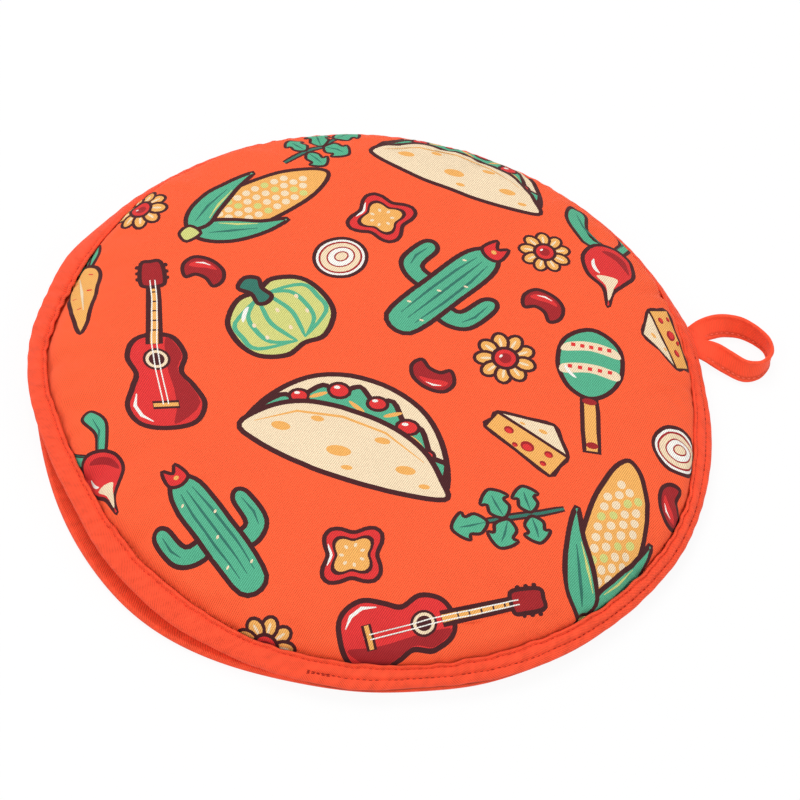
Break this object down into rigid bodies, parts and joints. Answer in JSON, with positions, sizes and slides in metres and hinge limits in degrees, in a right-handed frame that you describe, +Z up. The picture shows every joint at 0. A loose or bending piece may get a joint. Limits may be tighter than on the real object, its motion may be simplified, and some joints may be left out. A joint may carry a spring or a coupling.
{
  "type": "tortilla warmer",
  "caption": "Flat round padded fabric pouch with bound rims, sewn shut except at a mouth on one side, and a hanging loop of tape opposite the mouth.",
  "frame": {"origin": "centre of the round base, on the surface that the pouch lies on", "axes": "+Z up, +X from the centre to the hanging loop, the mouth faces -X"},
  "size_m": [0.3452, 0.305, 0.0309],
  "materials": {
    "shell_fabric": "matte twill",
    "lining_fabric": "matte plain weave",
    "binding_tape": "matte twill tape",
    "padding": "matte",
    "thread": "matte"
  },
  "bodies": {
    "pouch": {"lower_shell": "shell_fabric", "lower_batting": "padding", "lower_lining": "lining_fabric", "lower_binding": "binding_tape", "lower_binding_stitch": "thread", "upper_shell": "shell_fabric", "upper_batting": "padding", "upper_lining": "lining_fabric", "upper_binding": "binding_tape", "upper_binding_stitch": "thread", "joining_seam": "thread", "near_end_backtack": "thread", "far_end_backtack": "thread", "loop_tails": "binding_tape"},
    "mouth_flap": {"flap_shell": "shell_fabric", "flap_batting": "padding", "flap_lining": "lining_fabric", "flap_binding": "binding_tape", "flap_binding_stitch": "thread"},
    "hanging_loop": {"hanging_loop": "binding_tape", "loop_edge_stitch": "thread"}
  },
  "joints": [
    {"name": "mouth_lift", "type": "hinge", "parent": "pouch", "child": "mouth_flap", "pos_m": [-0.06923, 0, 0.02955], "axis": [0, 1, 0], "range_deg": [-4.5, 45], "stiffness_Nm_per_rad": 0.2, "springref_deg": 2.69},
    {"name": "loop_swing", "type": "hinge", "parent": "pouch", "child": "hanging_loop", "pos_m": [0.1545, 0, 0.0047], "axis": [0, -1, 0], "range_deg": [-75, 75], "stiffness_Nm_per_rad": 0.006, "springref_deg": 1.26}
  ]
}
